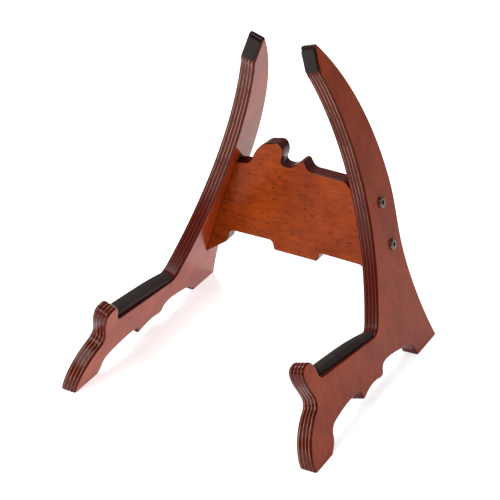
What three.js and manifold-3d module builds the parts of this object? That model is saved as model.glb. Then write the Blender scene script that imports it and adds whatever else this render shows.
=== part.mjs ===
// Knock-down plywood floor stand for a guitar: two leaning side boards, one cross board between
// them, four connector bolts into barrel nuts, and four rubber pads where the guitar rests.
// Millimetres, +Z up, front towards -Y, origin on the floor in the middle of the footprint.

import * as THREE from 'three';
import { mergeVertices } from 'three/addons/utils/BufferGeometryUtils.js';
import Module from 'manifold-3d';

// Boards
const BOARD = 18;                                // thickness of all three boards
const LEAN = THREE.MathUtils.degToRad(17.9);     // each side board leans in at the top
const HALF_GAP = 136;                            // centre line to a side board's inner face, on the floor
const JOINT_GAP = 0.3;                           // clearance left between touching pieces
const FLOOR_TRIM = 7;                            // board left below the floor line before it is planed flat

// Cross board
const CROSS_FRONT = 246.5;                       // its front face, measured back from the toes
const CROSS_TOP = 185;                           // height of its shoulders
const CROSS_BOTTOM = 58;                         // height of its lowest corners

// Bolts and barrel nuts
const BOLT_HEIGHTS = { upper: 177, lower: 127 }; // measured up the side board
const BOLT = { radius: 3, length: 50, headRadius: 6.2, headHeight: 2.4, rim: 1.1, hex: 4, hexDepth: 1.9 };
const NUT = { radius: 5, length: 14, bore: 3.3, slotWidth: 1.4, slotDepth: 1.6 };
const NUT_DEPTH = 26;                            // nut axis, in from the side board's inner face
const BOLT_HOLE = 3.5;
const NUT_HOLE = 5.3;

// Pads
const ARM_PAD = { width: 14, thickness: 7.5 };    // thickness where it is flat, thinning towards its ends
const TIP_PAD = { width: 15, thickness: 2.5 };

const CURVE_STEPS = 14;

// Side board geometry: y runs back from the toe, s runs up the board
const UPRIGHT_FRONT = { y: -76, s: 226, radius: 306 };
const UPRIGHT_REAR = { y: 11, s: 186, radius: 276 };
const ARM_START = new THREE.Vector2(59.5, 72.9);
const ARM_END = new THREE.Vector2(167.9, 58.1);
const ARM_CROOK = new THREE.Vector2(179.2, 56.4);
const CROOK_END = pointOn(UPRIGHT_FRONT, 66.2);
const TIP_FOOT = pointOn(UPRIGHT_FRONT, 345);
const TIP_TOP = new THREE.Vector2(208.4, 369.5);
const TIP_CROWN = { y: 211.6, s: 370.88, radius: 3.2 };
const REAR_WIDEST = 190;

const WOOD = new THREE.MeshStandardMaterial({ color: 0x7c3a2a, roughness: 0.38, metalness: 0 });
const CROSS_WOOD = new THREE.MeshStandardMaterial({ color: 0x9a4322, roughness: 0.38, metalness: 0 });
const RUBBER = new THREE.MeshStandardMaterial({ color: 0x3a3736, roughness: 0.85, metalness: 0 });
const STEEL = new THREE.MeshStandardMaterial({ color: 0x4a453e, roughness: 0.42, metalness: 0.9 });
const ZINC = new THREE.MeshStandardMaterial({ color: 0xa8a9a8, roughness: 0.4, metalness: 0.9 });

const wasm = await Module();
wasm.setup();

// Closed three.js geometry to a solid, for cutting
function toSolid(geometry) {
  const bare = geometry.clone();
  bare.deleteAttribute('normal');
  bare.deleteAttribute('uv');
  const merged = mergeVertices(bare, 1e-4);
  return new wasm.Manifold(new wasm.Mesh({
    numProp: 3,
    vertProperties: new Float32Array(merged.attributes.position.array),
    triVerts: new Uint32Array(merged.index.array),
  }));
}

function toGeometry(solid) {
  const cut = solid.getMesh();
  const geometry = new THREE.BufferGeometry();
  geometry.setAttribute('position', new THREE.BufferAttribute(cut.vertProperties, 3));
  geometry.setIndex(new THREE.BufferAttribute(cut.triVerts, 1));
  geometry.computeVertexNormals();
  return geometry;
}

function cutAway(geometry, cutters) {
  const solid = cutters.reduce((rest, cutter) => rest.subtract(toSolid(cutter)), toSolid(geometry));
  return toGeometry(solid);
}

function extrude(shape, depth) {
  return new THREE.ExtrudeGeometry(shape, { depth, bevelEnabled: false, curveSegments: CURVE_STEPS });
}

function piece(name, geometry, material) {
  const mesh = new THREE.Mesh(geometry, material.clone());
  mesh.name = name;
  return mesh;
}

// Angle on an arc at a given distance up the board
function angleAt(arc, s) {
  return Math.asin((s - arc.s) / arc.radius);
}

function pointOn(arc, s) {
  return new THREE.Vector2(arc.y + arc.radius * Math.cos(angleAt(arc, s)), s);
}

// The side board's outline: toe, knee, hook, arm, upright, tip, back edge, heel and scalloped underside
function sideOutline() {
  const outline = new THREE.Shape();
  outline.moveTo(0.5, -FLOOR_TRIM);
  // rounded front of the toe, then the knee
  outline.bezierCurveTo(-5, 16, 12, 39.5, 31, 48.5);
  outline.quadraticCurveTo(37.8, 53.5, 34.2, 63);
  // neck and round head of the hook
  outline.bezierCurveTo(31.5, 71, 26, 80, 26, 89);
  outline.bezierCurveTo(26, 97, 32, 98.7, 38, 98.6);
  outline.bezierCurveTo(46, 98.5, 50.5, 91, 52.8, 79.5);
  outline.quadraticCurveTo(53.9, 73.7, ARM_START.x, ARM_START.y);
  // arm, and the crook where it turns up
  outline.lineTo(ARM_END.x, ARM_END.y);
  outline.quadraticCurveTo(ARM_CROOK.x, ARM_CROOK.y, CROOK_END.x, CROOK_END.y);
  // upright: front arc, blunt tip, rear arc
  const front = UPRIGHT_FRONT;
  outline.absarc(front.y, front.s, front.radius, angleAt(front, CROOK_END.y), angleAt(front, TIP_FOOT.y), false);
  outline.lineTo(TIP_TOP.x, TIP_TOP.y);
  const rear = UPRIGHT_REAR;
  const crown = TIP_CROWN;
  const crownEnd = Math.atan2(crown.s - rear.s, crown.y - rear.y);
  outline.absarc(crown.y, crown.s, crown.radius, Math.PI, crownEnd, true);
  outline.absarc(rear.y, rear.s, rear.radius, crownEnd, angleAt(rear, REAR_WIDEST), true);
  // waist and flared heel
  outline.bezierCurveTo(287, 158, 277.3, 140, 277.3, 106);
  outline.bezierCurveTo(277.3, 70, 286, 30, 299.2, -FLOOR_TRIM);
  outline.lineTo(247.8, -FLOOR_TRIM);
  // underside: heel's front, rear arch, middle scallop, front arch, back of the toe
  outline.bezierCurveTo(247, 2, 243, 11, 228, 14.8);
  outline.quadraticCurveTo(198, 23, 184, 23.4);
  outline.quadraticCurveTo(173, 23.4, 171.3, 16.5);
  outline.quadraticCurveTo(170.3, 11.4, 163, 12.4);
  outline.quadraticCurveTo(144, 18, 126, 11);
  outline.quadraticCurveTo(118.8, 8.2, 118.2, 15.5);
  outline.quadraticCurveTo(117.8, 22.6, 109, 23.2);
  outline.quadraticCurveTo(85, 24.4, 60, 19.8);
  outline.quadraticCurveTo(50.2, 17.8, 49, 10);
  outline.quadraticCurveTo(48.4, 1.5, 37, -FLOOR_TRIM);
  return outline;
}

// A strip lying on a curve: its underside `near` off the left-hand side, its top `far(t)` off it
function stripShape(curve, near, far, count) {
  const offset = (t, distance) => {
    const tangent = curve.getTangentAt(t);
    return curve.getPointAt(t).add(new THREE.Vector2(-tangent.y, tangent.x).multiplyScalar(distance));
  };
  const steps = Array.from({ length: count + 1 }, (_, i) => i / count);
  const under = steps.map((t) => offset(t, near));
  const over = steps.map((t) => offset(t, far(t))).reverse();
  return new THREE.Shape([...under, ...over]);
}

function armPadShape() {
  const path = new THREE.CurvePath();
  path.add(new THREE.LineCurve(ARM_START, ARM_END));
  const crook = new THREE.QuadraticBezierCurve(ARM_END, ARM_CROOK, CROOK_END);
  const crookStop = 0.42;
  const partWay = Array.from({ length: 9 }, (_, i) => crook.getPoint((i / 8) * crookStop));
  partWay.slice(1).forEach((point, i) => path.add(new THREE.LineCurve(partWay[i], point)));
  const top = (t) => {
    const frontDip = 30 * Math.max(0, 0.15 - t) ** 2;
    const crookDip = 15 * Math.max(0, t - 0.48) ** 2;
    return JOINT_GAP + ARM_PAD.thickness - frontDip - crookDip;
  };
  return stripShape(path, JOINT_GAP, top, 40);
}

function tipPadShape() {
  const reach = new THREE.LineCurve(TIP_FOOT.clone().lerp(TIP_TOP, 0.06), TIP_TOP);
  return stripShape(reach, JOINT_GAP, () => JOINT_GAP + TIP_PAD.thickness, 2);
}

// Round-headed connector bolt along +Y, its head's underside at y = 0
function boltGeometry() {
  const { radius, length, headRadius, headHeight, rim, hex, hexDepth } = BOLT;
  const dome = new THREE.QuadraticBezierCurve(
    new THREE.Vector2(headRadius, rim),
    new THREE.Vector2(headRadius - 0.5, headHeight),
    new THREE.Vector2(headRadius - 2.4, headHeight),
  );
  const profile = [
    new THREE.Vector2(0, -length),
    new THREE.Vector2(radius - 0.8, -length),
    new THREE.Vector2(radius, -length + 0.8),
    new THREE.Vector2(radius, 0),
    new THREE.Vector2(headRadius - 0.2, 0),
    new THREE.Vector2(headRadius, 0.2),
    ...dome.getPoints(4),
    new THREE.Vector2(0, headHeight),
  ];
  const body = new THREE.LatheGeometry(profile, 28);
  const socketRadius = hex / Math.sqrt(3);
  const socket = new THREE.CylinderGeometry(socketRadius, socketRadius, 2 * hexDepth, 6);
  socket.translate(0, headHeight, 0);
  return cutAway(body, [socket]);
}

// Barrel nut along X, with a cross hole for the bolt along Z and a screwdriver slot in its back end
function nutGeometry() {
  const barrel = new THREE.CylinderGeometry(NUT.radius, NUT.radius, NUT.length, 28);
  barrel.rotateZ(Math.PI / 2);
  const bore = new THREE.CylinderGeometry(NUT.bore, NUT.bore, 3 * NUT.radius, 24);
  bore.rotateX(Math.PI / 2);
  const slot = new THREE.BoxGeometry(2 * NUT.slotDepth, 3 * NUT.radius, NUT.slotWidth);
  slot.translate(NUT.length / 2, 0, 0);
  return cutAway(barrel, [bore, slot]);
}

// Point on the bolt's line in the cross board's plane, `depth` in from the side board's inner face
function boltPoint(side, height, depth) {
  return new THREE.Vector2(
    side * (HALF_GAP - height * Math.sin(LEAN) - depth * Math.cos(LEAN)),
    height * Math.cos(LEAN) - depth * Math.sin(LEAN),
  );
}

// Half-width of the cross board at a height, between the leaning side boards
function crossHalfWidth(z) {
  return HALF_GAP - z * Math.tan(LEAN) - JOINT_GAP / Math.cos(LEAN);
}

// The cross board's front outline: x to the right, z up
function crossOutline() {
  const outline = new THREE.Shape();
  outline.moveTo(-crossHalfWidth(CROSS_BOTTOM), CROSS_BOTTOM);
  outline.lineTo(-crossHalfWidth(CROSS_TOP), CROSS_TOP);
  // left shoulder and the large hump
  outline.lineTo(-64, 186.5);
  outline.quadraticCurveTo(-58.5, 187.2, -56, 194);
  outline.bezierCurveTo(-52.5, 204, -45, 216, -33, 217.5);
  outline.lineTo(-25.5, 219);
  outline.bezierCurveTo(-17.6, 219.6, -15.4, 209, -18.6, 201.5);
  // notch, the small hump and the level run
  outline.bezierCurveTo(-21.8, 194, -14.5, 192, -8, 194);
  outline.bezierCurveTo(-1, 196.5, 2, 204.7, 7.5, 204.7);
  outline.bezierCurveTo(12, 204.7, 10.5, 194.3, 21, 194);
  outline.lineTo(55, 193.3);
  outline.bezierCurveTo(65, 193.3, 62, 185.3, 70, CROSS_TOP);
  outline.lineTo(crossHalfWidth(CROSS_TOP), CROSS_TOP);
  outline.lineTo(crossHalfWidth(CROSS_BOTTOM), CROSS_BOTTOM);
  // underside: right lobe, recess, middle tab, and the same again to the left
  outline.lineTo(91, 77.5);
  outline.bezierCurveTo(85, 82, 90, 93, 79, 95);
  outline.lineTo(35, 95.8);
  outline.bezierCurveTo(26, 95.8, 30.5, 84.5, 25.5, 84.5);
  outline.lineTo(-25.5, 84.5);
  outline.bezierCurveTo(-30.5, 84.5, -26, 95.8, -35, 95.8);
  outline.lineTo(-79, 95);
  outline.bezierCurveTo(-90, 93, -85, 82, -91, 77.5);
  outline.closePath();
  return outline;
}

// The cross board lies in x and z, with its thickness towards the front
function crossBoard() {
  const cutters = [];
  for (const side of [-1, 1]) {
    for (const height of Object.values(BOLT_HEIGHTS)) {
      const reach = NUT_DEPTH + 8;
      const hole = new THREE.CylinderGeometry(BOLT_HOLE, BOLT_HOLE, 2 * reach, 24);
      hole.rotateZ(-side * (Math.PI / 2 - LEAN));
      const mouth = boltPoint(side, height, 0);
      hole.translate(mouth.x, mouth.y, BOARD / 2);
      const pocketDepth = (BOARD + NUT.length) / 2 + 0.5;
      const pocket = new THREE.CylinderGeometry(NUT_HOLE, NUT_HOLE, 2 * pocketDepth, 28);
      pocket.rotateX(Math.PI / 2);
      const seat = boltPoint(side, height, NUT_DEPTH);
      pocket.translate(seat.x, seat.y, 0);
      cutters.push(hole, pocket);
    }
  }
  const mesh = piece('cross_panel', cutAway(extrude(crossOutline(), BOARD), cutters), CROSS_WOOD);
  mesh.rotation.x = Math.PI / 2;
  mesh.position.y = CROSS_FRONT + BOARD;
  return mesh;
}

// One side board in its own frame: x back from the toe, y up the board, z through it to the right
function sideBoard(name, side) {
  const board = extrude(sideOutline(), BOARD);
  board.translate(0, 0, side > 0 ? 0 : -BOARD);
  const floor = new THREE.BoxGeometry(800, 100, 200);
  floor.translate(150, -50, 0);
  floor.rotateX(side * LEAN);
  const holes = Object.values(BOLT_HEIGHTS).map((height) => {
    const hole = new THREE.CylinderGeometry(BOLT_HOLE, BOLT_HOLE, 4 * BOARD, 24);
    hole.rotateX(Math.PI / 2);
    hole.translate(CROSS_FRONT + BOARD / 2, height, 0);
    return hole;
  });
  return piece(name, cutAway(board, [floor, ...holes]), WOOD);
}

function pad(name, side, shape, width) {
  const geometry = extrude(shape, width);
  geometry.translate(0, 0, (side * BOARD - width) / 2);
  return piece(name, geometry, RUBBER);
}

// Everything that hangs on one side board shares its leaning frame
function sideGroup(handName, side) {
  const group = new THREE.Group();
  group.add(sideBoard(`${handName}_side_panel`, side));
  group.add(pad(`${handName}_arm_pad`, side, armPadShape(), ARM_PAD.width));
  group.add(pad(`${handName}_tip_pad`, side, tipPadShape(), TIP_PAD.width));
  for (const [level, height] of Object.entries(BOLT_HEIGHTS)) {
    const bolt = piece(`${handName}_${level}_bolt`, boltGeometry(), STEEL);
    bolt.rotation.x = side * (Math.PI / 2);
    bolt.position.set(CROSS_FRONT + BOARD / 2, height, side * (BOARD + JOINT_GAP));
    const nut = piece(`${handName}_${level}_barrel_nut`, nutGeometry(), ZINC);
    nut.position.set(CROSS_FRONT + BOARD / 2, height, -side * NUT_DEPTH);
    group.add(bolt, nut);
  }
  const basis = new THREE.Matrix4().makeBasis(
    new THREE.Vector3(0, 1, 0),
    new THREE.Vector3(-side * Math.sin(LEAN), 0, Math.cos(LEAN)),
    new THREE.Vector3(Math.cos(LEAN), 0, side * Math.sin(LEAN)),
  );
  group.quaternion.setFromRotationMatrix(basis);
  group.position.x = side * HALF_GAP;
  return group;
}

const stand = new THREE.Group();
stand.add(sideGroup('left', -1), sideGroup('right', 1), crossBoard());

// Centre the footprint on the origin
const footprint = new THREE.Box3().setFromObject(stand, true);
stand.position.y = -(footprint.min.y + footprint.max.y) / 2;

export default stand;
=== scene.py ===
import math

import bmesh
import bpy
from mathutils import Matrix, Vector
from mathutils.geometry import interpolate_bezier


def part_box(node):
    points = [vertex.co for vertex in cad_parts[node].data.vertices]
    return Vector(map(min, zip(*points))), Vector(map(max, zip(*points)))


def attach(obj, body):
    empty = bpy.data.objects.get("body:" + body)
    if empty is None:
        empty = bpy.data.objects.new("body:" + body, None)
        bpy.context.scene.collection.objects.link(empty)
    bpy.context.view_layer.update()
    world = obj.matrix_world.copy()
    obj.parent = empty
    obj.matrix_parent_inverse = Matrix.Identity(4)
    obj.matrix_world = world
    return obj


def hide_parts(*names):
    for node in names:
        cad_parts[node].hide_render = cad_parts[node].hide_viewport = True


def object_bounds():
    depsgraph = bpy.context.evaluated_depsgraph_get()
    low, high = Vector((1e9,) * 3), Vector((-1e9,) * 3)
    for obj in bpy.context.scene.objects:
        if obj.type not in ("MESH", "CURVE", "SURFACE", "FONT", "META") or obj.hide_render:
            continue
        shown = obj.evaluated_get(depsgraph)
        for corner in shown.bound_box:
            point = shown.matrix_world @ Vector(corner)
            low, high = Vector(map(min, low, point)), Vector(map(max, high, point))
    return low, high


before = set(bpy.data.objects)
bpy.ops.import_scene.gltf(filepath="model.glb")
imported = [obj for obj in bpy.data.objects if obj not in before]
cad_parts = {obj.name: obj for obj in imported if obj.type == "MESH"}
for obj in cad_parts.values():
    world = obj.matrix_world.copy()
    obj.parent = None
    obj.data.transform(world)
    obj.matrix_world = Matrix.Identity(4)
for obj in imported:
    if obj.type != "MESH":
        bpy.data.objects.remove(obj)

cad_low, cad_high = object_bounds()

# ---------------------------------------------------------------------------------------------
# Studio: a pale paper floor, a small softbox behind the stand and a large one in front of it, both
# on its left and above it, a dim even room, and a camera on a tripod well back, looking down at
# the stand from its front right corner.
# ---------------------------------------------------------------------------------------------

CAMERA_TURN = math.radians(29.1)
CAMERA_TILT = math.radians(29.6)
CAMERA_DISTANCE = 1.7315
CAMERA_LENS = 118.2
AIM_OFFSET = Vector((0.0053, -0.0169, -0.0305))
SOFTBOXES = {
    "back_softbox": {"size": 0.7, "watts": 22.0, "at": (-1.0, 0.8, 1.7), "faces": (0.0, 0.0, 0.1)},
    "front_softbox": {"size": 1.5, "watts": 34.5, "at": (-0.7, -1.5, 1.7), "faces": (0.0, 0.0, 0.15)}}
ROOM_LIGHT = 0.26
FLOOR_SIZE = 8.0
# Strength of the floor's painted glow: 0.75 within 0.6 m of the middle, easing to 0.4 by 1.5 m.
FLOOR_GLOW = {"From Min": 0.6, "From Max": 1.5, "To Min": 0.75, "To Max": 0.4}
PAPER_CLOUDS = 1.3  # per metre: one every 0.8 m


def linear(srgb_hex):
    """An sRGB hex colour as the linear RGBA that Blender's sockets take."""
    channels = [int(srgb_hex[i:i + 2], 16) / 255 for i in (1, 3, 5)]
    return tuple(
        c / 12.92 if c <= 0.04045 else ((c + 0.055) / 1.055) ** 2.4 for c in channels) + (1.0,)


def add_node(tree, kind, inputs=None, **settings):
    """A new node, with its settings, and its inputs set to values or linked to sockets."""
    made = tree.nodes.new(kind)
    for name, value in settings.items():
        setattr(made, name, value)
    for socket, value in (inputs or {}).items():
        if isinstance(value, bpy.types.NodeSocket):
            tree.links.new(value, made.inputs[socket])
        else:
            made.inputs[socket].default_value = value
    return made


def new_material(name):
    """An empty node material and its tree, ready for a shader."""
    material = bpy.data.materials.new(name)
    material.use_nodes = True
    material.node_tree.nodes.clear()
    return material, material.node_tree


def finish_material(tree, shader_inputs):
    """Ends a tree in a Principled shader with these inputs."""
    shader = add_node(tree, "ShaderNodeBsdfPrincipled", shader_inputs)
    add_node(tree, "ShaderNodeOutputMaterial", {"Surface": shader.outputs["BSDF"]})


def place(name, mesh):
    """Links a mesh into the scene as an object at the origin."""
    made = bpy.data.objects.new(name, mesh)
    bpy.context.scene.collection.objects.link(made)
    return made


stand_middle = (cad_low + cad_high) / 2
camera_data = bpy.data.cameras.new("camera")
camera_data.lens = CAMERA_LENS
camera_data.sensor_width = 36.0
camera_data.clip_end = 50.0
camera = bpy.data.objects.new("camera", camera_data)
bpy.context.scene.collection.objects.link(camera)
camera.rotation_euler = (math.pi / 2 - CAMERA_TILT, 0.0, CAMERA_TURN)
camera_back = camera.rotation_euler.to_matrix() @ Vector((0.0, 0.0, 1.0))
camera.location = stand_middle + AIM_OFFSET + CAMERA_DISTANCE * camera_back
bpy.context.scene.camera = camera
bpy.context.scene.view_settings.view_transform = "Standard"

for name, box in SOFTBOXES.items():
    light = bpy.data.lights.new(name, "AREA")
    light.size = box["size"]
    light.energy = box["watts"]
    softbox = bpy.data.objects.new(name, light)
    softbox.location = box["at"]
    towards = Vector(box["faces"]) - Vector(box["at"])
    softbox.rotation_euler = towards.to_track_quat("-Z", "Y").to_euler()
    bpy.context.scene.collection.objects.link(softbox)

world = bpy.data.worlds.new("studio")
bpy.context.scene.world = world
world.use_nodes = True
room = world.node_tree.nodes["Background"]
room.inputs["Color"].default_value = linear("#ffffff")
room.inputs["Strength"].default_value = ROOM_LIGHT

# Matte background paper, near white, with no gloss and only the faintest cloudiness. It also glows,
# strongest round the stand and weaker further out: painted light that fills in the shadows on it.
paper, tree = new_material("pale_paper_sweep")
spot = add_node(tree, "ShaderNodeTexCoord")
cloud = add_node(tree, "ShaderNodeTexNoise", {"Vector": spot.outputs["Object"], "Scale": PAPER_CLOUDS})
tone = add_node(tree, "ShaderNodeMix", {
    0: cloud.outputs["Fac"], 6: linear("#f6f6f6"), 7: linear("#fafafa")}, data_type="RGBA")
distance = add_node(tree, "ShaderNodeVectorMath", {0: spot.outputs["Object"]}, operation="LENGTH")
glow = add_node(tree, "ShaderNodeMapRange", {
    "Value": distance.outputs["Value"], **FLOOR_GLOW}, interpolation_type="SMOOTHSTEP")
finish_material(tree, {
    "Base Color": tone.outputs[2], "Roughness": 0.9, "Specular IOR Level": 0.2,
    "Emission Color": tone.outputs[2], "Emission Strength": glow.outputs["Result"]})
floor_mesh = bpy.data.meshes.new("floor")
half = FLOOR_SIZE / 2
floor_corners = [(-half, -half, 0), (half, -half, 0), (half, half, 0), (-half, half, 0)]
floor_mesh.from_pydata(floor_corners, [], [(0, 1, 2, 3)])
floor_mesh.materials.append(paper)
floor = place("floor", floor_mesh)

# ---------------------------------------------------------------------------------------------
# Side boards: each one is band-sawn from 18 mm birch plywood, its profile rounded over with a
# router, then stained red-brown and lacquered. The faces show rotary-cut birch, fine and even;
# the rounded profile cuts through nine plies, so the stain takes dark and light in stripes.
# ---------------------------------------------------------------------------------------------

SIDE_ROUNDING = 0.0022
ROUNDING_STEPS = 6
ROUNDING_MARGIN = 1.2
CURVE_STEP = 0.002
STRAIGHT_STEP = 0.014
SHARP_CORNER = math.radians(30)
SMOOTH_ANGLE = math.radians(35)
BELOW_FLOOR = 0.003
BOLT_HOLE_RADIUS = 0.0035
BOLT_HOLE_LENGTH = 0.08
HOLE_SEGMENTS = 48
FACE_REACH = math.cos(math.radians(32))  # a rim leaning further than this takes the ply pattern
SAME_POINT = 5e-6
SAME_PLANE = 2e-5
SHORTEST_EDGE = 1e-4

PLY_COUNT = 9
PLY_WAVER = 0.0009
CROOK = (0.0, 0.030, 0.055)  # where arm and upright meet; round it the light ply stripes fade out as painted shade
TIP_END = 0.349  # height above which the tips' profile loses its light stripes and darkens to near black

# How many of a pattern's waves fit in a metre.
STAIN_CLOUDS = 26.0  # one every 38 mm
GRAIN_FIGURE = 240.0  # 4 mm across the grain and seven times as long, as rotary-cut birch runs
GRAIN_PORES = 900.0  # 1 mm, drawn far coarser than birch's own so that they show
PLY_WAVES = 38.0  # one every 26 mm
STAIN_STREAKS = 34.0  # one every 29 mm
END_FIBRES = 520.0  # 2 mm, drawn coarser than real fibres so that they show


def outline_towards(node, axis):
    """Outline of the CAD node's furthest face along the axis, anticlockwise seen from there."""
    surface = bmesh.new()
    surface.from_mesh(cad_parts[node].data)
    bmesh.ops.remove_doubles(surface, verts=surface.verts, dist=SAME_POINT)
    level = max(vert.co.dot(axis) for vert in surface.verts) - SAME_PLANE
    flat = {face for face in surface.faces if all(vert.co.dot(axis) > level for vert in face.verts)}
    following = {
        loop.vert: loop.link_loop_next.vert
        for face in surface.faces if face in flat
        for loop in face.loops if loop.link_loop_radial_next.face not in flat}
    loops = []
    while following:
        vert = next(iter(following))
        loops.append([])
        while vert in following:
            loops[-1].append(vert.co.copy())
            vert = following.pop(vert)
    surface.free()
    longest = max(loops, key=lambda loop: sum((loop[i] - loop[i - 1]).length for i in range(len(loop))))
    return [point for i, point in enumerate(longest) if (point - longest[i - 1]).length > SHORTEST_EDGE]


def refine(outline):
    """The outline with more points where it curves, so that its curved stretches run smooth."""
    count = len(outline)
    steps = [outline[(i + 1) % count] - outline[i] for i in range(count)]

    def heading(i, step):
        """Direction of the curve at point i, for the step that starts or ends there."""
        before, after = steps[i - 1], steps[i % count]
        if before.angle(after) > SHARP_CORNER:
            return step.normalized()
        if before.length > STRAIGHT_STEP:
            return before.normalized()
        if after.length > STRAIGHT_STEP:
            return after.normalized()
        return (before.normalized() * after.length + after.normalized() * before.length).normalized()

    fine = []
    for i, step in enumerate(steps):
        start, stop = outline[i], outline[(i + 1) % count]
        parts = 1 if step.length > STRAIGHT_STEP else math.ceil(step.length / CURVE_STEP)
        reach = step.length / 3
        leaving = start + heading(i, step) * reach
        arriving = stop - heading(i + 1, step) * reach
        fine += interpolate_bezier(start, leaving, arriving, stop, parts + 1)[:-1]
    return fine


def clear_corners(outline, axis, rounding):
    """The outline without the points so near a sharp corner that its rounding would cross them."""
    count = len(outline)
    crowded = set()
    for i, corner in enumerate(outline):
        before, after = corner - outline[i - 1], outline[(i + 1) % count] - corner
        turn = before.angle(after)
        if turn < SHARP_CORNER or before.cross(after).dot(axis) < 0:
            continue
        reach = ROUNDING_MARGIN * rounding * math.tan(turn / 2)
        for way in (1, -1):
            j = (i + way) % count
            while (outline[j] - corner).length < reach:
                crowded.add(j)
                j = (j + way) % count
    return [point for i, point in enumerate(outline) if i not in crowded]


def inset(outline, axis, distances):
    """The outline moved inwards, each of its edges by its own distance."""
    count = len(outline)
    inwards = [axis.cross(outline[(i + 1) % count] - outline[i]).normalized() for i in range(count)]
    moved = []
    for i, point in enumerate(outline):
        before, after = inwards[i - 1], inwards[i]
        alike = before.dot(after)
        both = (distances[i - 1] + distances[i]) / 2 / (1 + alike)
        apart = (distances[i - 1] - distances[i]) / 2 / max(1 - alike, 0.1)
        moved.append(point + both * (before + after) + apart * (before - after))
    return moved


def rounded_rims(thickness, rounding):
    """Inset and height of each ring round a board whose two rims are rounded over."""
    angles = [math.pi / 2 * step / ROUNDING_STEPS for step in range(ROUNDING_STEPS + 1)]
    rim = [(rounding * (1 - math.sin(angle)), rounding * (1 - math.cos(angle))) for angle in angles]
    return rim + [(distance, thickness - height) for distance, height in reversed(rim)]


def ringed_solid(name, outline, axis, rings, shares):
    """A closed solid below its outline: rings of points along the axis, each moved in by its
    inset times the share that an edge takes of it, with a flat cap at both ends."""
    count = len(outline)
    thickness = rings[-1][1]
    points = []
    for distance, height in rings:
        ring = inset(outline, axis, [distance * share for share in shares])
        points += [point - axis * (thickness - height) for point in ring]
    faces = [tuple(reversed(range(count))), tuple(range(len(points) - count, len(points)))]
    for lower in range(0, len(points) - count, count):
        for i in range(count):
            j = (i + 1) % count
            faces.append((lower + i, lower + j, lower + count + j, lower + count + i))
    mesh = bpy.data.meshes.new(name)
    mesh.from_pydata(points, [], faces)
    return place(name, mesh)


def bake(made):
    """Turns an object's modifiers into its plain mesh."""
    bpy.context.view_layer.update()
    evaluated = made.evaluated_get(bpy.context.evaluated_depsgraph_get())
    baked = bpy.data.meshes.new_from_object(evaluated)
    made.modifiers.clear()
    made.data = baked


def drill(cutters, radius, start, stop):
    """Adds a round hole from one point to another to the shapes that are cut away."""
    along = stop - start
    turned = along.to_track_quat("Z", "Y").to_matrix().to_4x4()
    bmesh.ops.create_cone(
        cutters, cap_ends=True, segments=HOLE_SEGMENTS, radius1=radius, radius2=radius,
        depth=along.length, matrix=Matrix.Translation((start + stop) / 2) @ turned)


def cut_away(made, cutters):
    """Cuts closed shapes away from an object."""
    shapes = bpy.data.meshes.new("cutters")
    cutters.to_mesh(shapes)
    cutters.free()
    tool = place("cutters", shapes)
    boolean = made.modifiers.new("cut", "BOOLEAN")
    boolean.operation = "DIFFERENCE"
    boolean.solver = "EXACT"
    boolean.object = tool
    bake(made)
    bpy.data.objects.remove(tool)


def finish_board(board, axis, face_material, edge_material):
    """Gives a board one material for its faces and one for its profile, and shades it so that
    the faces stay flat and the rounded rims run smoothly into them."""
    mesh = board.data
    mesh.materials.clear()
    mesh.materials.append(face_material)
    mesh.materials.append(edge_material)
    for polygon in mesh.polygons:
        polygon.material_index = 0 if abs(polygon.normal.dot(axis)) > FACE_REACH else 1
    mesh.shade_smooth()
    mesh.set_sharp_from_angle(angle=SMOOTH_ANGLE)
    board.modifiers.new("even_shading", "WEIGHTED_NORMAL").keep_sharp = True
    bake(board)


def board_space(tree, board):
    """Object coordinates turned to a board: X through it from its back, Y across, Z up it."""
    across = Vector((0, 1, 0)) if abs(board["axis"].x) > 0.5 else Vector((1, 0, 0))
    turned = Matrix((board["axis"], across, board["axis"].cross(across)))
    spot = add_node(tree, "ShaderNodeTexCoord")
    return add_node(tree, "ShaderNodeMapping", {
        "Vector": spot.outputs["Object"], "Rotation": turned.to_euler(),
        "Location": (-board["back"], 0, 0)})


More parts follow.
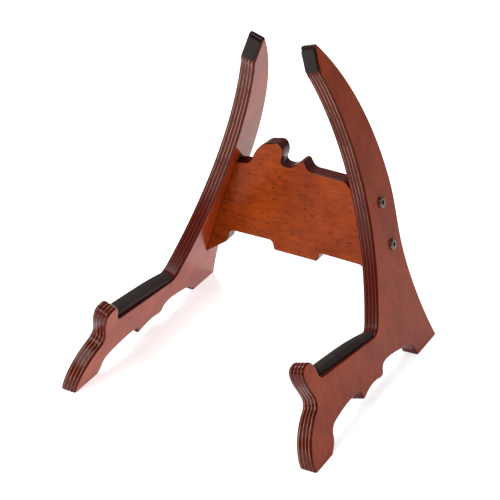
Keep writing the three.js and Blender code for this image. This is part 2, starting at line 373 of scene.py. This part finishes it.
def stained_veneer(name, board, grain, pore_depth, light, dark):
    """Rotary-cut birch veneer, wiped with stain and sprayed with clear gloss lacquer. The eye sees
    soft clouds where the stain took unevenly, a silky figure along the grain, short dark pores,
    and a film that softens each reflection."""
    material, tree = new_material(name)
    space = board_space(tree, board)
    cloud = add_node(tree, "ShaderNodeTexNoise", {
        "Vector": space.outputs["Vector"], "Scale": STAIN_CLOUDS, "Detail": 3.0, "Roughness": 0.55})
    along = add_node(tree, "ShaderNodeMapping", {"Vector": space.outputs["Vector"], "Scale": grain})
    figure = add_node(tree, "ShaderNodeTexNoise", {
        "Vector": along.outputs["Vector"], "Scale": GRAIN_FIGURE, "Detail": 4.0, "Roughness": 0.6,
        "Distortion": 0.35})
    mixed = add_node(tree, "ShaderNodeMath", {
        0: figure.outputs["Fac"], 1: 0.55, 2: cloud.outputs["Fac"]}, operation="MULTIPLY_ADD")
    spread = add_node(tree, "ShaderNodeMapRange", {
        "Value": mixed.outputs[0], "From Min": 0.57, "From Max": 0.98})
    stain = add_node(tree, "ShaderNodeMix", {
        0: spread.outputs["Result"], 6: linear(dark), 7: linear(light)}, data_type="RGBA")
    pore_noise = add_node(tree, "ShaderNodeTexNoise", {
        "Vector": along.outputs["Vector"], "Scale": GRAIN_PORES, "Detail": 2.0, "Roughness": 0.5})
    pores = add_node(tree, "ShaderNodeMapRange", {
        "Value": pore_noise.outputs["Fac"], "From Min": 0.58, "From Max": 0.7, "To Max": pore_depth})
    toned = add_node(tree, "ShaderNodeMix", {
        0: pores.outputs["Result"], 6: stain.outputs[2], 7: linear("#3a0f06")}, data_type="RGBA")
    sheen = add_node(tree, "ShaderNodeMapRange", {
        "Value": figure.outputs["Fac"], "From Min": 0.3, "From Max": 0.7, "To Min": 0.16, "To Max": 0.22})
    relief = add_node(tree, "ShaderNodeMath", {
        0: figure.outputs["Fac"], 1: pores.outputs["Result"]}, operation="SUBTRACT")
    bump = add_node(tree, "ShaderNodeBump", {
        "Height": relief.outputs[0], "Strength": 0.12, "Distance": 0.00008})
    finish_material(tree, {
        "Base Color": toned.outputs[2], "Roughness": sheen.outputs["Result"], "IOR": 1.5,
        "Specular IOR Level": 0.1, "Normal": bump.outputs["Normal"]})
    return material


def stained_plies(name, board, stripe, light, dark):
    """Plywood profile, sawn, rounded over, stained and lacquered. The eye sees dark lines where a ply's end
    grain drank the stain and light ones where a ply was cut along its grain, broken by streaks, with a
    slight ridge on each. Round the crook the light lines fade out as painted shade; above a set height at
    the tips they go and the profile darkens to near black."""
    material, tree = new_material(name)
    space = board_space(tree, board)
    waver = add_node(tree, "ShaderNodeTexNoise", {
        "Vector": space.outputs["Vector"], "Scale": PLY_WAVES, "Detail": 2.0})
    apart = add_node(tree, "ShaderNodeSeparateXYZ", {"Vector": space.outputs["Vector"]})
    wandering = add_node(tree, "ShaderNodeMath", {
        0: waver.outputs["Fac"], 1: PLY_WAVER, 2: -PLY_WAVER / 2}, operation="MULTIPLY_ADD")
    depth = add_node(tree, "ShaderNodeMath", {
        0: apart.outputs["X"], 1: wandering.outputs[0]}, operation="ADD")
    share = add_node(tree, "ShaderNodeMath", {
        0: depth.outputs[0], 1: board["thickness"]}, operation="DIVIDE")
    plies = add_node(tree, "ShaderNodeValToRGB", {"Fac": share.outputs[0]})
    ramp = plies.color_ramp
    ramp.elements[0].color = ramp.elements[1].color = (0, 0, 0, 1)
    for ply in range(1, PLY_COUNT, 2):
        middle = (ply + 0.5) / PLY_COUNT
        for offset, level in ((-0.5, 0.0), (0.0, 1.0), (0.5, 0.0)):
            stop = ramp.elements.new(middle + offset / PLY_COUNT)
            stop.color = (level, level, level, 1)
    streaks = add_node(tree, "ShaderNodeTexNoise", {
        "Vector": space.outputs["Vector"], "Scale": STAIN_STREAKS, "Detail": 3.0, "Roughness": 0.65})
    taken = add_node(tree, "ShaderNodeMapRange", {
        "Value": streaks.outputs["Fac"], "From Min": 0.4, "From Max": 0.58,
        "To Min": 0.08, "To Max": stripe})
    # Painted shade: within 7 cm of the crook the light stripes fade to a tenth, and by 17 cm they are back
    # in full.
    spot = add_node(tree, "ShaderNodeTexCoord")
    flat = add_node(tree, "ShaderNodeVectorMath", {
        0: spot.outputs["Object"], 1: (0.0, 1.0, 1.0)}, operation="MULTIPLY")
    from_crook = add_node(tree, "ShaderNodeVectorMath", {
        0: flat.outputs["Vector"], 1: CROOK}, operation="DISTANCE")
    clear = add_node(tree, "ShaderNodeMapRange", {
        "Value": from_crook.outputs["Value"], "From Min": 0.07, "From Max": 0.17,
        "To Min": 0.1, "To Max": 1.0}, interpolation_type="SMOOTHSTEP")
    # Above TIP_END the light stripes go and the profile darkens to near black, over the tops of the tips.
    height = add_node(tree, "ShaderNodeSeparateXYZ", {"Vector": spot.outputs["Object"]})
    tip_top_darkening = add_node(tree, "ShaderNodeMapRange", {
        "Value": height.outputs["Z"], "From Min": TIP_END - 0.004, "From Max": TIP_END + 0.002})
    clear_of_tip = add_node(
        tree, "ShaderNodeMath", {0: clear.outputs["Result"], 1: tip_top_darkening.outputs["Result"]},
        operation="SUBTRACT", use_clamp=True)
    shown = add_node(tree, "ShaderNodeMath", {
        0: taken.outputs["Result"], 1: clear_of_tip.outputs[0]}, operation="MULTIPLY")
    heart = add_node(tree, "ShaderNodeMapRange", {
        "Value": plies.outputs["Color"], "From Min": 0.55, "From Max": 0.95})
    stripes = add_node(tree, "ShaderNodeMath", {
        0: heart.outputs["Result"], 1: shown.outputs[0]}, operation="MULTIPLY")
    fibre = add_node(tree, "ShaderNodeTexNoise", {
        "Vector": space.outputs["Vector"], "Scale": END_FIBRES, "Detail": 3.0, "Roughness": 0.65})
    soaked = add_node(tree, "ShaderNodeMath", {
        0: fibre.outputs["Fac"], 1: plies.outputs["Color"]}, operation="MULTIPLY")
    spread = add_node(tree, "ShaderNodeMapRange", {
        "Value": soaked.outputs[0], "From Min": 0.05, "From Max": 0.5})
    ground = add_node(tree, "ShaderNodeMix", {
        0: spread.outputs["Result"], 6: linear(dark), 7: linear("#741f13")}, data_type="RGBA")
    darkened = add_node(tree, "ShaderNodeMix", {
        0: tip_top_darkening.outputs["Result"], 6: ground.outputs[2], 7: linear("#220706")}, data_type="RGBA")
    toned = add_node(tree, "ShaderNodeMix", {
        0: stripes.outputs[0], 6: darkened.outputs[2], 7: linear(light)}, data_type="RGBA")
    relief = add_node(tree, "ShaderNodeMath", {
        0: plies.outputs["Color"], 1: fibre.outputs["Fac"]}, operation="ADD")
    bump = add_node(tree, "ShaderNodeBump", {
        "Height": relief.outputs[0], "Strength": 0.5, "Distance": 0.0002})
    finish_material(tree, {
        "Base Color": toned.outputs[2], "Roughness": 0.2, "IOR": 1.5, "Specular IOR Level": 0.2,
        "Normal": bump.outputs["Normal"]})
    return material


def far_end(node, axis):
    """Middle of the CAD node's end that lies furthest along the axis."""
    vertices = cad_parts[node].data.vertices
    corners = [Vector(spot) for spot in {tuple(round(value, 6) for value in v.co) for v in vertices}]
    level = max(corner.dot(axis) for corner in corners) - 5e-5
    end = [corner for corner in corners if corner.dot(axis) > level]
    return sum(end, Vector()) / len(end)


def board_facts(node, axis):
    """A board's axis, where its back lies along it, and its thickness."""
    along = [vertex.co.dot(axis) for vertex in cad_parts[node].data.vertices]
    return {"axis": axis, "back": min(along), "thickness": max(along) - min(along)}


bolt_ends = {}
side_boards = {}
for side in ("left", "right"):
    node = f"{side}_side_panel"
    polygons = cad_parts[node].data.polygons
    axis = max(polygons, key=lambda polygon: polygon.area).normal.copy()
    if axis.z < 0:
        axis.negate()
    facts = board_facts(node, axis)
    side_boards[side] = facts
    outline = outline_towards(node, axis)
    lowered = [point.copy() for point in outline]
    for i, point in enumerate(outline):
        for neighbour in (outline[i - 1], outline[(i + 1) % len(outline)]):
            if point.z < 1e-4 < neighbour.z:
                lowered[i] = point + (point - neighbour) * BELOW_FLOOR / neighbour.z
    profile = clear_corners(refine(lowered), axis, SIDE_ROUNDING)
    rims = rounded_rims(facts["thickness"], SIDE_ROUNDING)
    board = ringed_solid(f"{side}_side_board", profile, axis, rims, [1.0] * len(profile))
    cutters = bmesh.new()
    below = Matrix.Translation((0, 0, -0.05)) @ Matrix.Diagonal((1, 1, 0.1, 1))
    bmesh.ops.create_cube(cutters, size=1.0, matrix=below)
    for level in ("upper", "lower"):
        tip = far_end(f"{side}_{level}_bolt", -axis)
        bolt_ends[side, level] = tip
        drill(cutters, BOLT_HOLE_RADIUS, tip, tip + axis * BOLT_HOLE_LENGTH)
    cut_away(board, cutters)
    finish_board(
        board, axis,
        stained_veneer(f"{side}_lacquered_birch_face", facts, (1.0, 1.0, 0.14), 0.35, "#a84117", "#8b2e0f"),
        stained_plies(f"{side}_lacquered_ply_edge", facts, 0.9, "#c68a62", "#430f09"))
    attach(board, "root")
    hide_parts(node)

# ---------------------------------------------------------------------------------------------
# Cross board: the same plywood, sawn to a scalloped outline that ties the side boards together.
# Its faces are stained a warmer tone, its profile nearly black-brown and only lightly rounded.
# Round pockets in its back take the barrel nuts, and holes in its ends let the bolts reach them.
# ---------------------------------------------------------------------------------------------

CROSS_ROUNDING = 0.0014
END_SHARE = 0.2  # of that rounding, on the ends that butt against the side boards
BOLT_HOLE_PAST = 0.004
BOLT_HOLE_MOUTH = 0.06
POCKET_RADIUS = 0.0053
POCKET_MOUTH = 0.01
POCKET_LEFT = 0.0015

axis = Vector((0.0, -1.0, 0.0))
facts = board_facts("cross_panel", axis)
profile = clear_corners(refine(outline_towards("cross_panel", axis)), axis, CROSS_ROUNDING)
shares = []
for i, point in enumerate(profile):
    along = (profile[(i + 1) % len(profile)] - point).normalized()
    butted = any(abs(along.dot(board["axis"])) < 0.01 for board in side_boards.values())
    shares.append(END_SHARE if butted else 1.0)
cross_board = ringed_solid(
    "cross_board", profile, axis, rounded_rims(facts["thickness"], CROSS_ROUNDING), shares)
cutters = bmesh.new()
for (side, level), tip in bolt_ends.items():
    outwards = side_boards[side]["axis"]
    drill(cutters, BOLT_HOLE_RADIUS, tip - outwards * BOLT_HOLE_PAST, tip + outwards * BOLT_HOLE_MOUTH)
cut_away(cross_board, cutters)
cutters = bmesh.new()
for (side, level) in bolt_ends:
    nut_low, nut_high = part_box(f"{side}_{level}_barrel_nut")
    middle = (nut_low + nut_high) / 2
    behind = Vector((middle.x, -facts["back"] + POCKET_MOUTH, middle.z))
    bottom = Vector((middle.x, -facts["back"] - facts["thickness"] + POCKET_LEFT, middle.z))
    drill(cutters, POCKET_RADIUS, behind, bottom)
cut_away(cross_board, cutters)
finish_board(
    cross_board, axis,
    stained_veneer("cross_lacquered_birch_face", facts, (1.0, 0.14, 1.0), 0.8, "#a04211", "#7b2c0a"),
    stained_plies("cross_lacquered_ply_edge", facts, 0.25, "#94502f", "#330c08"))
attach(cross_board, "root")
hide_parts("cross_panel")

# ---------------------------------------------------------------------------------------------
# Pads: strips of charcoal closed-cell foam rubber, glued along the arms and up the fronts of the
# tips. They are cut from sheet, so their sides are matte and open-pored, and pressed at the ends,
# where they thin out; their free edges are soft and their resting face is slightly crowned.
# ---------------------------------------------------------------------------------------------

ARM_PAD_SKEW = {"left": 0.0022, "right": -0.0022}  # at the hook, fading to nothing at the crook
PAD_FORMS = {
    "arm": {"glue": Vector((0, 0, -1)), "corner": 0.0022, "rounding": 0.0018, "crown": 0.0007},
    "tip": {"glue": Vector((0, 1, 0)), "corner": 0.0009, "rounding": 0.0007, "crown": 0.0003}}
CROWN_STEPS = 10
SOFT_CORNER_STEPS = 7
SOFT_CORNER_PULL = 0.55
FOAM_WEAR = 75.0  # per metre: one every 13 mm
FOAM_CELLS = 1500.0  # per metre: 0.7 mm, drawn coarser than real cells so that they show


def glued(start, stop, axis, glue):
    """Whether the edge of a pad's outline lies on the wood, which is on the side of glue."""
    return (stop - start).cross(axis).normalized().dot(glue) > 0.3


def soften(outline, axis, form):
    """A pad's outline with its free corners rounded and those on the wood left sharp."""
    count = len(outline)
    soft = []
    for i, corner in enumerate(outline):
        last, following = outline[i - 1], outline[(i + 1) % count]
        on_wood = any(glued(a, b, axis, form["glue"]) for a, b in ((last, corner), (corner, following)))
        if on_wood or (corner - last).angle(following - corner) < SHARP_CORNER:
            soft.append(corner)
            continue
        start = corner + (last - corner).normalized() * form["corner"]
        stop = corner + (following - corner).normalized() * form["corner"]
        leaving, arriving = (end.lerp(corner, SOFT_CORNER_PULL) for end in (start, stop))
        soft += interpolate_bezier(start, leaving, arriving, stop, SOFT_CORNER_STEPS)
    return soft


def crowned_rims(width, rounding, crown):
    """Inset and height of each ring round a pad: soft rims, and a crown between them."""
    rims = rounded_rims(width, rounding)
    between = []
    for step in range(1, CROWN_STEPS):
        along = step / CROWN_STEPS
        between.append((-crown * math.sin(math.pi * along), rounding + (width - 2 * rounding) * along))
    half = len(rims) // 2
    return rims[:half] + between + rims[half:]


# Closed-cell foam rubber, cut from sheet. The eye sees a soft charcoal with no gloss, slightly browned by
# handling, and the fine pits of cells that the knife has opened, darkened in their hollows with painted
# shade.
rubber, tree = new_material("charcoal_foam_rubber")
spot = add_node(tree, "ShaderNodeTexCoord")
wear = add_node(tree, "ShaderNodeTexNoise", {
    "Vector": spot.outputs["Object"], "Scale": FOAM_WEAR, "Detail": 4.0, "Roughness": 0.6})
tone = add_node(tree, "ShaderNodeMix", {
    0: wear.outputs["Fac"], 6: linear("#2a2321"), 7: linear("#3d3633")}, data_type="RGBA")
cells = add_node(tree, "ShaderNodeTexVoronoi", {"Vector": spot.outputs["Object"], "Scale": FOAM_CELLS})
pits = add_node(tree, "ShaderNodeMapRange", {
    "Value": cells.outputs["Distance"], "From Min": 0.1, "From Max": 0.5, "To Min": 0.55, "To Max": 1.0})
# Painted shade: the opened cells are darkened towards near black.
shaded = add_node(tree, "ShaderNodeMix", {
    0: pits.outputs["Result"], 6: linear("#120e0d"), 7: tone.outputs[2]}, data_type="RGBA")
bump = add_node(tree, "ShaderNodeBump", {
    "Height": cells.outputs["Distance"], "Strength": 0.5, "Distance": 0.0002})
finish_material(tree, {
    "Base Color": shaded.outputs[2], "Roughness": 0.82, "IOR": 1.5, "Specular IOR Level": 0.12,
    "Normal": bump.outputs["Normal"]})

for side, facts in side_boards.items():
    axis = facts["axis"]
    for kind, form in PAD_FORMS.items():
        node = f"{side}_{kind}_pad"
        rough_outline = clear_corners(outline_towards(node, axis), axis, form["corner"])
        profile = refine(soften(rough_outline, axis, form))
        count = len(profile)
        shares = [
            0.0 if glued(point, profile[(i + 1) % count], axis, form["glue"]) else 1.0
            for i, point in enumerate(profile)]
        width = board_facts(node, axis)["thickness"]
        rims = crowned_rims(width, form["rounding"], form["crown"])
        pad = ringed_solid(node + "_foam", profile, axis, rims, shares)
        if kind == "arm":
            pad_low, pad_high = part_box(node)
            for vertex in pad.data.vertices:
                from_crook = (pad_high.y - vertex.co.y) / (pad_high.y - pad_low.y)
                vertex.co += axis * ARM_PAD_SKEW[side] * from_crook
        pad.data.materials.append(rubber)
        pad.data.shade_smooth()
        pad.data.set_sharp_from_angle(angle=math.radians(50))
        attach(pad, "root")
        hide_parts(node)

# ---------------------------------------------------------------------------------------------
# Connector bolts: M6 furniture bolts, cold-headed and turned from steel, with a low domed head and
# a hexagon socket, plated a dark bronze. Two through each side board hold it to the cross board.
# ---------------------------------------------------------------------------------------------

BOLT_SIZES = {
    "Shank Radius": 0.003, "Shank Length": 0.05, "Head Radius": 0.0062, "Head Height": 0.0024,
    "Rim Height": 0.0009, "Socket Across": 0.0046, "Socket Depth": 0.003, "Tip Chamfer": 0.0008,
    "Neck": 0.0004, "Neck Flare": 0.0003, "Foot Bevel": 0.0002}
DOME_STEPS = 6
DOME_CROWN = 0.62  # share of the head's radius that stays flat at the top of the dome
ROUND_SEGMENTS = 64
BRONZE_PATCHES = 420.0  # per metre: 2.4 mm
BRONZE_GRIT = 2600.0  # per metre: 0.4 mm, drawn coarser than real plating so that it shows


def size_tree(name, sizes):
    """An empty geometry tree whose inputs are points, these sizes and a material."""
    tree = bpy.data.node_groups.new(name, "GeometryNodeTree")
    tree.interface.new_socket("Points", in_out="INPUT", socket_type="NodeSocketGeometry")
    for size in sizes:
        tree.interface.new_socket(size, in_out="INPUT", socket_type="NodeSocketFloat")
    tree.interface.new_socket("Material", in_out="INPUT", socket_type="NodeSocketMaterial")
    tree.interface.new_socket("Geometry", in_out="OUTPUT", socket_type="NodeSocketGeometry")
    return tree, add_node(tree, "NodeGroupInput").outputs


def sum_of(tree, first, second, factor=1.0):
    """A socket with first + second * factor."""
    inputs = {0: second, 1: factor, 2: first}
    return add_node(tree, "ShaderNodeMath", inputs, operation="MULTIPLY_ADD").outputs[0]


def turned_solid(tree, rings):
    """A solid turned about Z, from rings of (radius, height), foot first; returns its socket."""
    last = len(rings) - 1
    blank = add_node(tree, "GeometryNodeMeshCylinder", {
        "Vertices": ROUND_SEGMENTS, "Side Segments": last, "Radius": 1.0, "Depth": float(last)},
        fill_type="NGON")
    spot = add_node(tree, "GeometryNodeInputPosition")
    apart = add_node(tree, "ShaderNodeSeparateXYZ", {"Vector": spot.outputs["Position"]})
    level = add_node(tree, "ShaderNodeMath", {0: apart.outputs["Z"], 1: last / 2}, operation="ADD")
    ring = add_node(tree, "FunctionNodeFloatToInt", {"Float": level.outputs[0]}, rounding_mode="ROUND")
    radius, height = (
        add_node(tree, "GeometryNodeIndexSwitch", {"Index": ring.outputs["Integer"]}, data_type="FLOAT")
        for _ in range(2))
    for switch, values in ((radius, [r for r, _ in rings]), (height, [h for _, h in rings])):
        for _ in range(len(rings) - 2):
            switch.index_switch_items.new()
        for i, value in enumerate(values):
            if isinstance(value, bpy.types.NodeSocket):
                tree.links.new(value, switch.inputs[i + 1])
            else:
                switch.inputs[i + 1].default_value = value
    wide = [
        add_node(tree, "ShaderNodeMath", {
            0: apart.outputs[letter], 1: radius.outputs["Output"]}, operation="MULTIPLY").outputs[0]
        for letter in ("X", "Y")]
    moved = add_node(tree, "ShaderNodeCombineXYZ", {
        "X": wide[0], "Y": wide[1], "Z": height.outputs["Output"]})
    shaped = add_node(tree, "GeometryNodeSetPosition", {
        "Geometry": blank.outputs["Mesh"], "Position": moved.outputs["Vector"]})
    return shaped.outputs["Geometry"]


def cut_from(tree, solid, cutter):
    """A socket with the solid less the cutter."""
    cut = add_node(tree, "GeometryNodeMeshBoolean", {
        "Mesh 1": solid, "Mesh 2": cutter}, operation="DIFFERENCE")
    return cut.outputs["Mesh"]


def finish_size_tree(tree, inputs, solid):
    """Ends a tree: the solid stands on every point, turned as the point says, in the material."""
    turn = add_node(tree, "GeometryNodeInputNamedAttribute", {"Name": "turn"}, data_type="FLOAT_VECTOR")
    turned = add_node(tree, "FunctionNodeEulerToRotation", {"Euler": turn.outputs["Attribute"]})
    stood = add_node(tree, "GeometryNodeInstanceOnPoints", {
        "Points": inputs["Points"], "Instance": solid, "Rotation": turned.outputs["Rotation"]})
    real = add_node(tree, "GeometryNodeRealizeInstances", {"Geometry": stood.outputs["Instances"]})
    dressed = add_node(tree, "GeometryNodeSetMaterial", {
        "Geometry": real.outputs["Geometry"], "Material": inputs["Material"]})
    add_node(tree, "NodeGroupOutput", {"Geometry": dressed.outputs["Geometry"]})


def stand_on_points(name, tree, sizes, material, frames):
    """One plain mesh object with the tree's solid at every frame, a 4x4 matrix."""
    points = bpy.data.meshes.new(name)
    points.from_pydata([tuple(matrix.translation) for matrix in frames], [], [])
    turns = points.attributes.new("turn", "FLOAT_VECTOR", "POINT")
    for entry, matrix in zip(turns.data, frames):
        entry.vector = tuple(matrix.to_euler())
    made = place(name, points)
    modifier = made.modifiers.new("repeat", "NODES")
    modifier.node_group = tree
    for item in tree.interface.items_tree:
        if item.in_out == "INPUT" and item.name in sizes:
            modifier[item.identifier] = sizes[item.name]
        elif item.name == "Material":
            modifier[item.identifier] = material
    bake(made)
    made.data.shade_smooth()
    made.data.set_sharp_from_angle(angle=SMOOTH_ANGLE)
    return made


tree, sizes = size_tree("connector_bolt", BOLT_SIZES)
shank, head = sizes["Shank Radius"], sizes["Head Radius"]
foot = sum_of(tree, 0.0, sizes["Shank Length"], -1.0)
dome = sum_of(tree, sizes["Head Height"], sizes["Rim Height"], -1.0)
rings = [
    (sum_of(tree, shank, sizes["Tip Chamfer"], -1.0), foot),
    (shank, sum_of(tree, foot, sizes["Tip Chamfer"])),
    (shank, sum_of(tree, 0.0, sizes["Neck"], -1.0)),
    (sum_of(tree, shank, sizes["Neck Flare"]), 0.0),
    (sum_of(tree, head, sizes["Foot Bevel"], -1.0), 0.0),
    (head, sizes["Foot Bevel"]), (head, sizes["Rim Height"])]
for step in range(1, DOME_STEPS + 1):
    angle = math.pi / 2 * step / DOME_STEPS
    crown = sum_of(tree, 0.0, head, DOME_CROWN)
    wide = sum_of(tree, crown, head, (1 - DOME_CROWN) * math.cos(angle))
    rings.append((wide, sum_of(tree, sizes["Rim Height"], dome, math.sin(angle))))
solid = turned_solid(tree, rings)
socket = add_node(tree, "GeometryNodeMeshCylinder", {
    "Vertices": 6, "Radius": sum_of(tree, 0.0, sizes["Socket Across"], 1 / math.sqrt(3)),
    "Depth": sum_of(tree, 0.0, sizes["Socket Depth"], 2.0)}, fill_type="NGON")
raised = add_node(tree, "ShaderNodeCombineXYZ", {"Z": sizes["Head Height"]})
socket_at_top = add_node(tree, "GeometryNodeTransform", {
    "Geometry": socket.outputs["Mesh"], "Translation": raised.outputs["Vector"]})
finish_size_tree(tree, sizes, cut_from(tree, solid, socket_at_top.outputs["Geometry"]))

# Steel plated a dark bronze, barrelled before plating. The eye sees a warm grey metal, worn
# brighter in patches, with a faint grit that spreads its reflections.
bronze, tree = new_material("bronze_plated_steel")
spot = add_node(tree, "ShaderNodeTexCoord")
patches = add_node(tree, "ShaderNodeTexNoise", {
    "Vector": spot.outputs["Object"], "Scale": BRONZE_PATCHES, "Detail": 3.0})
tone = add_node(tree, "ShaderNodeMix", {
    0: patches.outputs["Fac"], 6: linear("#3f372e"), 7: linear("#8a7f6c")}, data_type="RGBA")
worn = add_node(tree, "ShaderNodeMapRange", {
    "Value": patches.outputs["Fac"], "From Min": 0.3, "From Max": 0.7, "To Min": 0.26, "To Max": 0.42})
grit = add_node(tree, "ShaderNodeTexNoise", {
    "Vector": spot.outputs["Object"], "Scale": BRONZE_GRIT, "Detail": 2.0})
bump = add_node(tree, "ShaderNodeBump", {
    "Height": grit.outputs["Fac"], "Strength": 0.15, "Distance": 0.00003})
finish_material(tree, {
    "Base Color": tone.outputs[2], "Metallic": 1.0, "Roughness": worn.outputs["Result"],
    "Normal": bump.outputs["Normal"]})

bolt_frames = []
for (side, level), tip in bolt_ends.items():
    axis = side_boards[side]["axis"]
    turned = axis.to_track_quat("Z", "Y").to_matrix().to_4x4()
    bolt_frames.append(Matrix.Translation(tip + axis * BOLT_SIZES["Shank Length"]) @ turned)
bolts = stand_on_points(
    "connector_bolts", bpy.data.node_groups["connector_bolt"], BOLT_SIZES, bronze, bolt_frames)
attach(bolts, "root")
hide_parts(*[f"{side}_{level}_bolt" for side, level in bolt_ends])

# ---------------------------------------------------------------------------------------------
# Barrel nuts: turned steel cross dowels, zinc plated, sunk in the back of the cross board where
# each bolt ends. A screwdriver slot in the end that shows lets them be lined up with the bolt.
# ---------------------------------------------------------------------------------------------

NUT_SIZES = {
    "Barrel Radius": 0.005, "Barrel Length": 0.014, "Chamfer": 0.0005, "Bore Radius": 0.0033,
    "Slot Width": 0.0014, "Slot Depth": 0.0016}
ZINC_LINES = 3200.0  # per metre: 0.3 mm, drawn coarser than real turning marks so that they show
ZINC_BLOOMS = 300.0  # per metre: 3 mm

tree, sizes = size_tree("barrel_nut", NUT_SIZES)
barrel, chamfer = sizes["Barrel Radius"], sizes["Chamfer"]
top = sum_of(tree, 0.0, sizes["Barrel Length"], 0.5)
foot = sum_of(tree, 0.0, top, -1.0)
narrow = sum_of(tree, barrel, chamfer, -1.0)
solid = turned_solid(tree, [
    (narrow, foot), (barrel, sum_of(tree, foot, chamfer)),
    (barrel, sum_of(tree, top, chamfer, -1.0)), (narrow, top)])
bore = add_node(tree, "GeometryNodeMeshCylinder", {
    "Vertices": ROUND_SEGMENTS, "Radius": sizes["Bore Radius"],
    "Depth": sum_of(tree, 0.0, barrel, 3.0)}, fill_type="NGON")
bore_across = add_node(tree, "GeometryNodeTransform", {
    "Geometry": bore.outputs["Mesh"], "Rotation": (0.0, math.pi / 2, 0.0)})
slot_size = add_node(tree, "ShaderNodeCombineXYZ", {
    "X": sum_of(tree, 0.0, barrel, 3.0), "Y": sizes["Slot Width"],
    "Z": sum_of(tree, 0.0, sizes["Slot Depth"], 2.0)})
slot_block = add_node(tree, "GeometryNodeMeshCube", {"Size": slot_size.outputs["Vector"]})
slot_place = add_node(tree, "ShaderNodeCombineXYZ", {"Z": top})
slot_at_top = add_node(tree, "GeometryNodeTransform", {
    "Geometry": slot_block.outputs["Mesh"], "Translation": slot_place.outputs["Vector"]})
bored = cut_from(tree, solid, bore_across.outputs["Geometry"])
finish_size_tree(tree, sizes, cut_from(tree, bored, slot_at_top.outputs["Geometry"]))

# Turned steel under bright zinc plating. The eye sees a cool pale metal with fine turning lines
# round the barrel and a slight bloom where the plating lies thicker.
zinc, tree = new_material("zinc_plated_steel")
spot = add_node(tree, "ShaderNodeTexCoord")
turning = add_node(tree, "ShaderNodeMapping", {
    "Vector": spot.outputs["Object"], "Scale": (0.05, 1.0, 0.05)})
lines = add_node(tree, "ShaderNodeTexNoise", {
    "Vector": turning.outputs["Vector"], "Scale": ZINC_LINES, "Detail": 2.0})
blooms = add_node(tree, "ShaderNodeTexNoise", {
    "Vector": spot.outputs["Object"], "Scale": ZINC_BLOOMS, "Detail": 3.0})
tone = add_node(tree, "ShaderNodeMix", {
    0: blooms.outputs["Fac"], 6: linear("#9a9a98"), 7: linear("#c4c5c2")}, data_type="RGBA")
bump = add_node(tree, "ShaderNodeBump", {
    "Height": lines.outputs["Fac"], "Strength": 0.3, "Distance": 0.00002})
finish_material(tree, {
    "Base Color": tone.outputs[2], "Metallic": 1.0, "Roughness": 0.34, "Normal": bump.outputs["Normal"]})

nut_frames = []
back = Vector((0.0, 1.0, 0.0))
for side, level in bolt_ends:
    nut_low, nut_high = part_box(f"{side}_{level}_barrel_nut")
    bolt_axis = side_boards[side]["axis"]
    turned = Matrix((bolt_axis, back.cross(bolt_axis), back)).transposed().to_4x4()
    nut_frames.append(Matrix.Translation((nut_low + nut_high) / 2) @ turned)
nuts = stand_on_points("barrel_nuts", bpy.data.node_groups["barrel_nut"], NUT_SIZES, zinc, nut_frames)
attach(nuts, "root")
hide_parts(*[f"{side}_{level}_barrel_nut" for side, level in bolt_ends])
